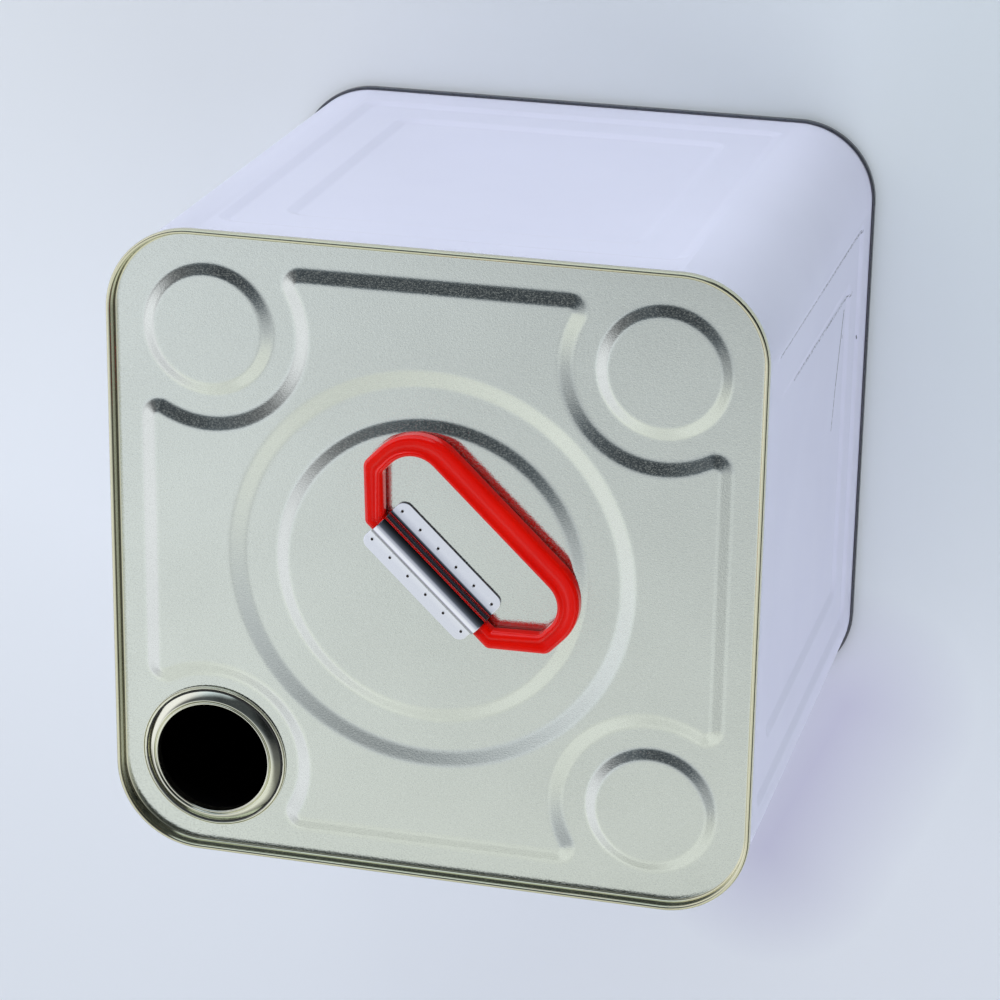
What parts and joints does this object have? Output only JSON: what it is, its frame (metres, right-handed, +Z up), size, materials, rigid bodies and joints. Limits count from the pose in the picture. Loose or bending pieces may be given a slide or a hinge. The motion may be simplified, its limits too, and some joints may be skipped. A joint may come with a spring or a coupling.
{
  "type": "square metal can",
  "caption": "Square sheet-metal can with a recessed pressed top, an open round mouth in one corner and a folding loop handle.",
  "frame": {"origin": "centre of the footprint, on the plane the bottom seam stands on", "axes": "+Z up, +X and +Y square to the sides, with the mouth in the -X -Y corner"},
  "size_m": [0.238, 0.238, 0.2314],
  "materials": {
    "paint": "semi-gloss lavender-white",
    "tinplate": "satin with a fine rolled grain",
    "bright_tinplate": "bright",
    "plated_strip": "bright plated",
    "red_plastic": "glossy",
    "gasket": "matte",
    "compound": "matte"
  },
  "bodies": {
    "can": {"body_shell": "paint", "top_end": "tinplate", "bottom_end": "tinplate", "neck_ring": "bright_tinplate", "neck_gasket": "gasket", "handle_bracket": "plated_strip", "top_seam_compound": "compound", "bottom_seam_compound": "compound"},
    "handle": {"carry_handle": "red_plastic"}
  },
  "joints": [
    {"name": "handle_hinge", "type": "hinge", "parent": "can", "child": "handle", "pos_m": [0.00103, 0.00109, 0.227], "axis": [0.7242, -0.6896, 0], "range_deg": [0, 180]}
  ]
}
